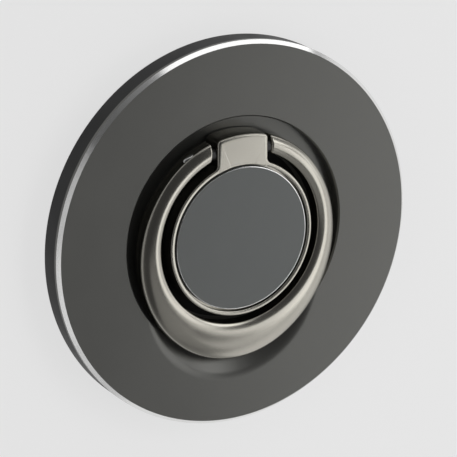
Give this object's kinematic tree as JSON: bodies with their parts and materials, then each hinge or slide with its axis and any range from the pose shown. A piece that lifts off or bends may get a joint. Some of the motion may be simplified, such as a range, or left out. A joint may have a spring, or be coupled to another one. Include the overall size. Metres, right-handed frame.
{
  "type": "phone ring holder",
  "caption": "Round magnetic base for the back of a phone, with a finger ring that folds up on a hinge and swivels all the way round in a recess of the metal face.",
  "frame": {"origin": "centre of the contact pad's face, on the surface that the base lies on", "axes": "+Z out of the metal face, +Y from the swivel axis to the hinge, +X along the hinge pin"},
  "size_m": [0.056, 0.056, 0.0065],
  "materials": {
    "gunmetal_plate": "satin gunmetal anodising with a bright cut chamfer",
    "black_housing": "moulded black plastic",
    "black_pad": "thin black silicone sheet",
    "plain_steel": "plain stamped steel",
    "acetal": "black acetal",
    "polished_gunmetal": "polished dark plating on a zinc casting",
    "grey_inlay": "satin grey anodising",
    "pin_steel": "ground steel",
    "magnet_nickel": "nickel plating on sintered magnets"
  },
  "bodies": {
    "base": {"face_plate": "gunmetal_plate", "back_housing": "black_housing", "contact_pad": "black_pad", "yoke_ring": "plain_steel", "friction_washer": "acetal", "disc_spring": "plain_steel", "magnet_01": "magnet_nickel", "magnet_02": "magnet_nickel", "magnet_03": "magnet_nickel", "magnet_04": "magnet_nickel", "magnet_05": "magnet_nickel", "magnet_06": "magnet_nickel", "magnet_07": "magnet_nickel", "magnet_08": "magnet_nickel", "magnet_09": "magnet_nickel", "magnet_10": "magnet_nickel", "magnet_11": "magnet_nickel", "magnet_12": "magnet_nickel", "magnet_13": "magnet_nickel", "magnet_14": "magnet_nickel", "magnet_15": "magnet_nickel", "magnet_16": "magnet_nickel"},
    "hub": {"swivel_hub": "polished_gunmetal", "hub_inlay": "grey_inlay", "retaining_washer": "plain_steel"},
    "ring": {"finger_ring": "polished_gunmetal", "hinge_pin": "pin_steel", "hinge_washer_left": "pin_steel", "hinge_washer_right": "pin_steel"}
  },
  "joints": [
    {"name": "ring_swivel", "type": "hinge", "parent": "base", "child": "hub", "pos_m": [0, 0, 0.0044], "axis": [0, 0, 1], "continuous": true},
    {"name": "ring_fold", "type": "hinge", "parent": "hub", "child": "ring", "pos_m": [0, 0.01257, 0.00525], "axis": [-1, 0, 0], "range_deg": [0, 165]}
  ]
}
